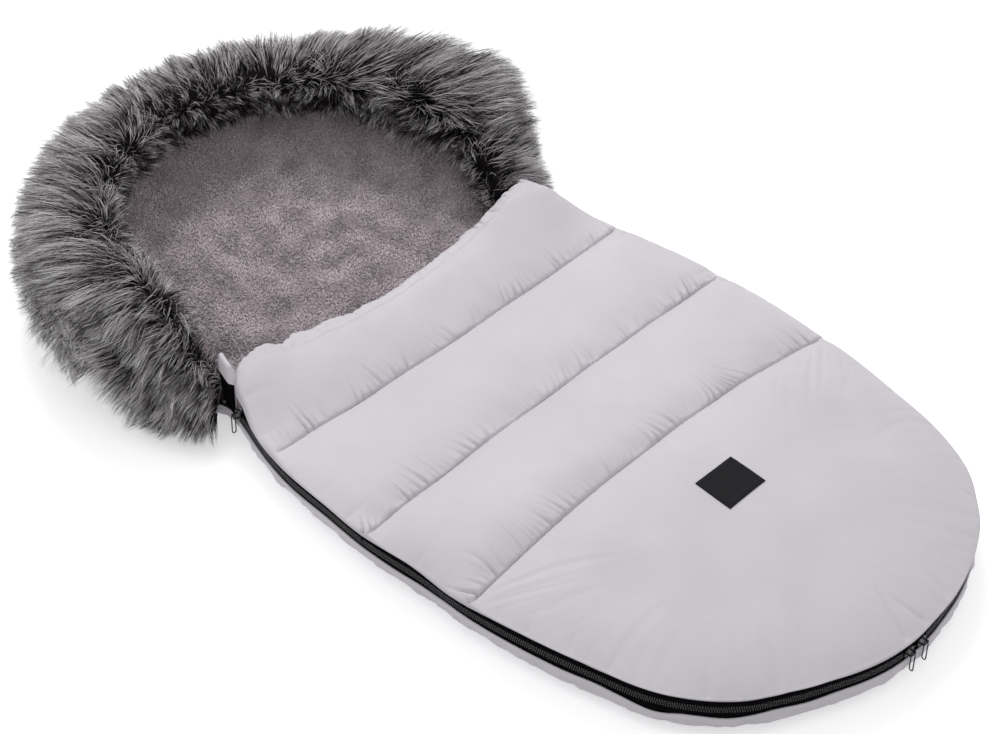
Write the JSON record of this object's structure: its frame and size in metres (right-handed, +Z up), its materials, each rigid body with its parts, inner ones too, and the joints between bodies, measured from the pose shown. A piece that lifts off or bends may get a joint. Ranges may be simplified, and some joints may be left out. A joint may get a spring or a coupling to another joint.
{
  "type": "winter footmuff",
  "caption": "Padded footmuff for a pushchair with a fur-trimmed hood, a quilted zip-on cover that folds at its seams and two-way zips.",
  "frame": {"origin": "on the floor, under the centre of the bounding box of the footmuff lying on its back", "axes": "+X across the footmuff to the wearer's left as it lies, +Y from the toe to the hood, +Z up"},
  "size_m": [0.5362, 1.0197, 0.1341],
  "materials": {
    "shell_fabric": "pale grey-lilac water-repellent woven fabric",
    "wadding": "white polyester wadding",
    "plush": "mauve-grey short plush",
    "fur": "charcoal and silver-grey long pile",
    "webbing": "black woven tape",
    "dark_metal": "black enamelled zip metal",
    "elastic": "woven elastic"
  },
  "bodies": {
    "back": {"back_shell": "shell_fabric", "back_wadding": "wadding", "plush_lining": "plush", "hood_rim_binding": "webbing", "fur_trim": "fur", "shoulder_slot_binding_left": "webbing", "shoulder_slot_binding_right": "webbing", "crotch_slot_binding": "webbing", "back_zip_half_left": "webbing", "back_zip_half_right": "webbing", "zip_garage_left": "shell_fabric", "zip_garage_right": "shell_fabric", "bottom_stop_left": "dark_metal", "bottom_stop_right": "dark_metal", "top_stop_left": "dark_metal", "top_stop_right": "dark_metal"},
    "toe_panel": {"toe_panel_quilt": "shell_fabric", "toe_panel_wadding": "wadding", "toe_panel_lining": "plush", "toe_panel_zip_half_left": "webbing", "toe_panel_zip_half_right": "webbing", "toe_patch": "webbing"},
    "lower_panel": {"lower_panel_quilt": "shell_fabric", "lower_panel_wadding": "wadding", "lower_panel_lining": "plush", "lower_panel_zip_half_left": "webbing", "lower_panel_zip_half_right": "webbing"},
    "middle_panel": {"middle_panel_quilt": "shell_fabric", "middle_panel_wadding": "wadding", "middle_panel_lining": "plush", "middle_panel_zip_half_left": "webbing", "middle_panel_zip_half_right": "webbing"},
    "top_panel": {"top_panel_quilt": "shell_fabric", "top_panel_wadding": "wadding", "top_panel_lining": "plush", "top_panel_zip_half_left": "webbing", "top_panel_zip_half_right": "webbing", "hem_elastic": "elastic"},
    "bottom_slider_left": {"bottom_slider_left": "dark_metal"},
    "bottom_pull_left": {"bottom_pull_left": "dark_metal"},
    "bottom_slider_right": {"bottom_slider_right": "dark_metal"},
    "bottom_pull_right": {"bottom_pull_right": "dark_metal"},
    "top_slider_left": {"top_slider_left": "dark_metal"},
    "top_pull_left": {"top_pull_left": "dark_metal"},
    "top_slider_right": {"top_slider_right": "dark_metal"},
    "top_pull_right": {"top_pull_right": "dark_metal"}
  },
  "joints": [
    {"name": "toe_fold", "type": "hinge", "parent": "back", "child": "toe_panel", "pos_m": [0, -0.50335, 0.0493], "axis": [1, 0, 0], "range_deg": [0, 100]},
    {"name": "lower_seam_fold", "type": "hinge", "parent": "toe_panel", "child": "lower_panel", "pos_m": [0, -0.205, 0.0763], "axis": [1, 0, 0], "range_deg": [0, 80]},
    {"name": "middle_seam_fold", "type": "hinge", "parent": "lower_panel", "child": "middle_panel", "pos_m": [0, -0.081, 0.0553], "axis": [1, 0, 0], "range_deg": [0, 80]},
    {"name": "upper_seam_fold", "type": "hinge", "parent": "middle_panel", "child": "top_panel", "pos_m": [0, 0.043, 0.0493], "axis": [1, 0, 0], "range_deg": [0, 80]},
    {"name": "bottom_slider_left_travel", "type": "hinge", "parent": "back", "child": "bottom_slider_left", "pos_m": [0, -0.2787, 0.035], "axis": [0, 0, -1], "range_deg": [0, 71]},
    {"name": "bottom_pull_left_swing", "type": "hinge", "parent": "bottom_slider_left", "child": "bottom_pull_left", "pos_m": [-0.00896, -0.50732, 0.035], "axis": [-0.9992, 0.0392, 0], "range_deg": [0, 120]},
    {"name": "top_slider_left_travel", "type": "hinge", "parent": "back", "child": "top_slider_left", "pos_m": [0.5836, -0.12305, 0.035], "axis": [0, 0, 1], "range_deg": [0, 31.4]},
    {"name": "top_pull_left_swing", "type": "hinge", "parent": "top_slider_left", "child": "top_pull_left", "pos_m": [-0.21298, 0.11988, 0.035], "axis": [0.2917, 0.9565, 0], "range_deg": [0, 120]},
    {"name": "bottom_slider_right_travel", "type": "hinge", "parent": "back", "child": "bottom_slider_right", "pos_m": [0, -0.2787, 0.035], "axis": [0, 0, 1], "range_deg": [0, 71]},
    {"name": "bottom_pull_right_swing", "type": "hinge", "parent": "bottom_slider_right", "child": "bottom_pull_right", "pos_m": [0.00896, -0.50732, 0.035], "axis": [-0.9992, -0.0392, 0], "range_deg": [0, 120]},
    {"name": "top_slider_right_travel", "type": "hinge", "parent": "back", "child": "top_slider_right", "pos_m": [-0.5836, -0.12305, 0.035], "axis": [0, 0, -1], "range_deg": [0, 31.4]},
    {"name": "top_pull_right_swing", "type": "hinge", "parent": "top_slider_right", "child": "top_pull_right", "pos_m": [0.21298, 0.11988, 0.035], "axis": [0.2917, -0.9565, 0], "range_deg": [0, 120]}
  ]
}
